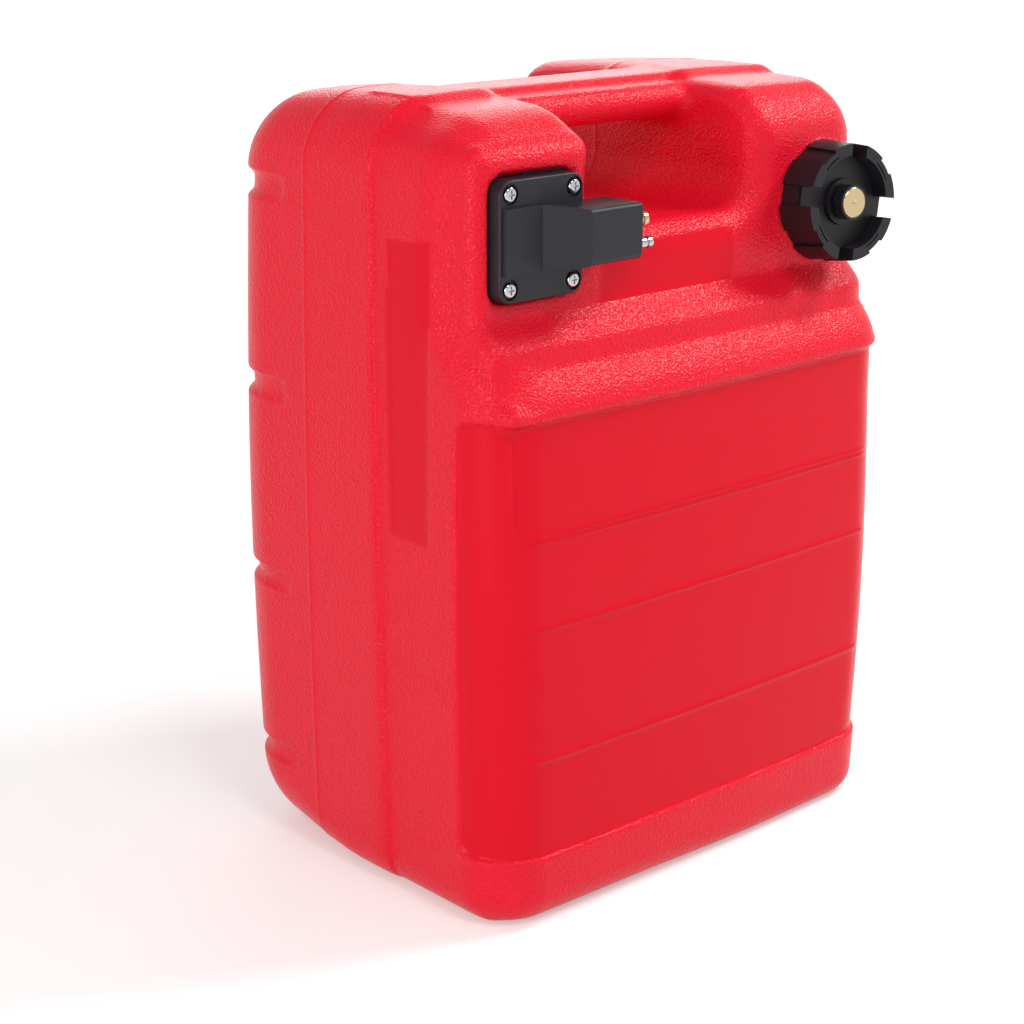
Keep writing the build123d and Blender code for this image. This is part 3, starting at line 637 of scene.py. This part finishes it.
def mapped(tree, value, low, high, **values):
    """A value from 0 to 1 brought to a range, or what the node's other sockets say."""
    node = add_node(tree, "ShaderNodeMapRange", **values)
    node.inputs["To Min"].default_value = low
    node.inputs["To Max"].default_value = high
    tree.links.new(value, node.inputs["Value"])
    return node.outputs["Result"]


def pebble(tree, coordinates, size):
    """Height of a leathery pebble grain: rounded cells bent by a soft noise."""
    bend = add_node(tree, "ShaderNodeTexNoise", Scale=bend_scale / size, Detail=2.0)
    tree.links.new(coordinates, bend.inputs["Vector"])
    mix = add_node(tree, "ShaderNodeVectorMath", operation="MULTIPLY_ADD")
    mix.inputs[1].default_value = (bend_reach * size,) * 3
    tree.links.new(bend.outputs["Color"], mix.inputs[0])
    tree.links.new(coordinates, mix.inputs[2])
    cells = add_node(tree, "ShaderNodeTexVoronoi", feature="SMOOTH_F1")
    cells.inputs["Scale"].default_value = 1 / size
    cells.inputs["Smoothness"].default_value = cell_softness
    tree.links.new(mix.outputs["Vector"], cells.inputs["Vector"])
    return cells.outputs["Distance"]


pebble_size = 0.0013
pebble_height = 0.0008
pebble_strength = 0.66
cell_softness = 0.7
bend_scale, bend_reach = 0.35, 0.9
wave_scale, wave_strength, wave_height = 260.0, 0.12, 0.0006
# painted shade: the pit red is darker than the head red, so shade is painted into the pebbles'
# pits
pit_height, head_height = 0.15, 0.5
shaded_pit_red = (0.76, 0.004, 0.018, 1)
unshaded_head_red = (0.86, 0.008, 0.030, 1)
smooth_roughness, pebbled_roughness = 0.24, 0.30
smooth_level, pebbled_level = 0.11, 0.19


def make_red_plastic():
    """Red polyethylene: a pebbled skin where the grain value is 1, satin where it is 0, with
    painted shade in the pebbles' pits.
    """
    material, tree, shader = new_material("red_plastic")
    set_surface(shader, Base_Color=(0.80, 0.008, 0.026, 1), Roughness=0.26, Specular_IOR_Level=0.2)
    place = add_node(tree, "ShaderNodeTexCoord").outputs["Object"]
    grain = add_node(tree, "ShaderNodeAttribute", attribute_name="grain").outputs["Fac"]
    tall = pebble(tree, place, pebble_size)
    strength = add_node(tree, "ShaderNodeMath", operation="MULTIPLY")
    strength.inputs[1].default_value = pebble_strength
    tree.links.new(grain, strength.inputs[0])
    grained = add_node(tree, "ShaderNodeBump", Distance=pebble_height)
    tree.links.new(strength.outputs[0], grained.inputs["Strength"])
    tree.links.new(tall, grained.inputs["Height"])
    fine = add_node(tree, "ShaderNodeTexNoise", Scale=wave_scale, Detail=4.0)
    tree.links.new(place, fine.inputs["Vector"])
    uneven = add_node(tree, "ShaderNodeBump", Strength=wave_strength, Distance=wave_height)
    tree.links.new(fine.outputs["Fac"], uneven.inputs["Height"])
    tree.links.new(grained.outputs["Normal"], uneven.inputs["Normal"])
    tree.links.new(uneven.outputs["Normal"], shader.inputs["Normal"])
    # painted shade: the pits between the pebbles are painted a little darker than their heads, as
    # if shaded; the smooth panel gets the pit colour as its plain red
    heads = mapped(tree, tall, 0.0, 1.0, **{"From Min": pit_height, "From Max": head_height})
    share = add_node(tree, "ShaderNodeMath", operation="MULTIPLY")
    tree.links.new(heads, share.inputs[0])
    tree.links.new(grain, share.inputs[1])
    pit_shade_tint = add_node(tree, "ShaderNodeMix", data_type="RGBA", A=shaded_pit_red, B=unshaded_head_red)
    tree.links.new(share.outputs[0], pit_shade_tint.inputs["Factor"])
    tree.links.new(pit_shade_tint.outputs["Result"], shader.inputs["Base Color"])
    rough = mapped(tree, grain, smooth_roughness, pebbled_roughness)
    tree.links.new(rough, shader.inputs["Roughness"])
    level = mapped(tree, grain, smooth_level, pebbled_level)
    tree.links.new(level, shader.inputs["Specular IOR Level"])
    return material


moulded_strength = 0.5
cloud_scale = 60.0
roughness_spread = 0.05


def make_moulded(name, color, roughness, grain_size, grain_height, level=0.4):
    """A moulded plastic or rubber with a fine even grain."""
    material, tree, shader = new_material(name)
    set_surface(shader, Base_Color=(*color, 1), Roughness=roughness, Specular_IOR_Level=level)
    place = add_node(tree, "ShaderNodeTexCoord").outputs["Object"]
    noise = add_node(tree, "ShaderNodeTexNoise", Scale=1 / grain_size, Detail=3.0, Roughness=0.6)
    tree.links.new(place, noise.inputs["Vector"])
    bump = add_node(tree, "ShaderNodeBump", Strength=moulded_strength, Distance=grain_height)
    tree.links.new(noise.outputs["Fac"], bump.inputs["Height"])
    tree.links.new(bump.outputs["Normal"], shader.inputs["Normal"])
    cloud = add_node(tree, "ShaderNodeTexNoise", Scale=cloud_scale, Detail=3.0)
    tree.links.new(place, cloud.inputs["Vector"])
    low, high = roughness - roughness_spread, roughness + roughness_spread
    rough = mapped(tree, cloud.outputs["Fac"], low, high)
    tree.links.new(rough, shader.inputs["Roughness"])
    return material


metal_marks = 900.0
metal_strength, metal_height = 0.25, 0.0001
metal_low, metal_high = 0.7, 1.3


def make_metal(name, color, roughness):
    """A turned or drawn metal, with fine even marks."""
    material, tree, shader = new_material(name)
    set_surface(shader, Base_Color=(*color, 1), Metallic=1.0, Roughness=roughness)
    place = add_node(tree, "ShaderNodeTexCoord").outputs["Object"]
    noise = add_node(tree, "ShaderNodeTexNoise", Scale=metal_marks, Detail=2.0)
    tree.links.new(place, noise.inputs["Vector"])
    bump = add_node(tree, "ShaderNodeBump", Strength=metal_strength, Distance=metal_height)
    tree.links.new(noise.outputs["Fac"], bump.inputs["Height"])
    tree.links.new(bump.outputs["Normal"], shader.inputs["Normal"])
    rough = mapped(tree, noise.outputs["Fac"], roughness * metal_low, roughness * metal_high)
    tree.links.new(rough, shader.inputs["Roughness"])
    return material


def assign(material, *names):
    """Gives CAD nodes their finish."""
    for name in names:
        slots = nodes[name].data.materials
        slots.clear()
        slots.append(material)


# ---------------------------------------------------------------- floor, light and camera
floor_reach = 30.0
floor_color = (0.78, 0.78, 0.78, 1)
lift_from, lift_to = 0.4, 3.5
lift_near, lift_far = 0.34, 0.66


def make_floor():
    """A wide pale floor that keeps the shadow; where it is seen, its light grows with distance."""
    mesh = bpy.data.meshes.new("floor")
    reach = floor_reach
    corners = [(-reach, -reach, 0), (reach, -reach, 0), (reach, reach, 0), (-reach, reach, 0)]
    mesh.from_pydata(corners, [], [(0, 1, 2, 3)])
    floor = bpy.data.objects.new("floor", mesh)
    bpy.context.scene.collection.objects.link(floor)
    material, tree, shader = new_material("pale_floor")
    set_surface(shader, Base_Color=floor_color, Roughness=0.9, Specular_IOR_Level=0.1)
    set_surface(shader, Emission_Color=(1, 1, 1, 1))
    place = add_node(tree, "ShaderNodeTexCoord")
    distance = add_node(tree, "ShaderNodeVectorMath", operation="LENGTH")
    tree.links.new(place.outputs["Object"], distance.inputs[0])
    spread = {"From Min": lift_from, "From Max": lift_to}
    length = distance.outputs["Value"]
    lift = mapped(tree, length, lift_near, lift_far, interpolation_type="SMOOTHSTEP", **spread)
    strength = seen_rays(tree, 0.0, 1.0)
    tree.links.new(lift, strength.node.inputs["To Max"])
    tree.links.new(strength, shader.inputs["Emission Strength"])
    mesh.materials.append(material)


def seen_rays(tree, plain, seen):
    """A value that is larger for camera, glossy and transmission rays."""
    path = add_node(tree, "ShaderNodeLightPath")
    first = add_node(tree, "ShaderNodeMath", operation="MAXIMUM")
    tree.links.new(path.outputs["Is Camera Ray"], first.inputs[0])
    tree.links.new(path.outputs["Is Glossy Ray"], first.inputs[1])
    second = add_node(tree, "ShaderNodeMath", operation="MAXIMUM")
    tree.links.new(first.outputs[0], second.inputs[0])
    tree.links.new(path.outputs["Is Transmission Ray"], second.inputs[1])
    return mapped(tree, second.outputs[0], plain, seen)


world_level = 0.5
dim_from, dim_to = 0.14, 0.55
overhead = 0.22


def make_world(level):
    """White where it is seen, darker overhead, and a soft even light on everything else."""
    world = bpy.data.worlds.new("studio")
    world.use_nodes = True
    tree = world.node_tree
    background = tree.nodes["Background"]
    background.inputs["Color"].default_value = (1, 1, 1, 1)
    looking = add_node(tree, "ShaderNodeNewGeometry")
    split = add_node(tree, "ShaderNodeSeparateXYZ")
    tree.links.new(looking.outputs["Incoming"], split.inputs[0])
    spread = {"From Min": -dim_from, "From Max": -dim_to}
    tilt = split.outputs["Z"]
    dim = mapped(tree, tilt, 1.0, overhead, interpolation_type="SMOOTHSTEP", **spread)
    strength = seen_rays(tree, level, 1.0)
    tree.links.new(dim, strength.node.inputs["To Max"])
    tree.links.new(strength, background.inputs["Strength"])
    bpy.context.scene.world = world


def make_softbox(name, place, aim, width, tall, power):
    """A rectangular lamp at a place, turned towards an aim."""
    lamp = bpy.data.lights.new(name, "AREA")
    lamp.shape = "RECTANGLE"
    lamp.size = width
    lamp.size_y = tall
    lamp.energy = power
    obj = bpy.data.objects.new(name, lamp)
    obj.location = place
    obj.rotation_euler = (Vector(aim) - Vector(place)).to_track_quat("-Z", "Y").to_euler()
    bpy.context.scene.collection.objects.link(obj)


# name, place, aim, width, height and power
lamps = (
    ("right_box", (1.25, -0.6, 1.6), (0, 0, 0.3), 0.45, 0.45, 19.5),
    ("corner_box", (-1.5, -1.0, 1.15), (0, 0, 0.35), 0.35, 0.35, 3.0),
    ("left_box", (-1.75, -0.35, 0.45), (0, 0, 0.25), 0.22, 0.6, 7.5),
    ("back_box", (1.5, 1.7, 1.1), (0, 0, 0.4), 1.2, 0.7, 8.5),
    ("key_box", (-0.3, -1.3, 1.9), (0, 0, 0.3), 0.7, 0.6, 9.4),
)

camera_place = (-0.898, -0.9301, 0.5902)
camera_azimuth = -42.49
camera_elevation = 17.13
camera_roll = 0.20
camera_lens = 76.46


def make_camera():
    """A camera that looks from an azimuth and an elevation, with a slight roll."""
    a, e, roll = radians(camera_azimuth), radians(camera_elevation), radians(camera_roll)
    back = Vector((sin(a) * cos(e), -cos(a) * cos(e), sin(e)))
    right = Vector((cos(a), sin(a), 0))
    up = back.cross(right)
    turned_right = right * cos(roll) + up * sin(roll)
    turned_up = up * cos(roll) - right * sin(roll)
    camera = bpy.data.cameras.new("camera")
    camera.lens = camera_lens
    camera.sensor_width = 36.0
    obj = bpy.data.objects.new("camera", camera)
    turn = Matrix((turned_right, turned_up, back)).transposed()
    obj.matrix_world = Matrix.Translation(camera_place) @ turn.to_4x4()
    bpy.context.scene.collection.objects.link(obj)
    bpy.context.scene.camera = obj


# ---------------------------------------------------------------- the whole picture
body = make_body()
red_plastic = make_red_plastic()
body.data.materials.append(red_plastic)
assign(red_plastic, "tank_shell")
outlet_black = (0.016, 0.0145, 0.020)
cap_black = (0.011, 0.009, 0.012)
# name, colour, roughness, size and height of the grain, and specular level
black_plastic = make_moulded("black_plastic", outlet_black, 0.40, 0.0006, 0.00030, 0.30)
cap_plastic = make_moulded("cap_plastic", cap_black, 0.36, 0.0006, 0.00026, 0.32)
rubber = make_moulded("rubber", (0.012, 0.018, 0.014), 0.55, 0.0006, 0.0002)
grey_plastic = make_moulded("grey_plastic", (0.55, 0.55, 0.52), 0.45, 0.0005, 0.0001)
# name, colour and roughness
brass = make_metal("brass", (0.64, 0.49, 0.28), 0.30)
chrome = make_metal("chrome", (0.52, 0.52, 0.54), 0.14)
steel = make_metal("steel", (0.62, 0.62, 0.63), 0.28)
assign(black_plastic, "outlet_flange")
assign(cap_plastic, "cap_shell", "cap_disc", "vent_hub", "vent_knob")
assign(rubber, "flange_gasket", "nipple_o_ring", "guide_pin_o_ring", "cap_gasket", "vent_seal")
assign(grey_plastic, "pickup_tube", "pickup_strainer", "splash_guard")
assign(brass, "vent_screw", "outlet_nipple", "screw_inserts", "check_poppet")
assign(chrome, "flange_screws", "guide_pin")
assign(steel, "check_spring", "tube_clamp", "vent_clip")

make_floor()
make_world(world_level)
for lamp in lamps:
    make_softbox(*lamp)
make_camera()
bpy.context.scene.view_settings.view_transform = "Standard"
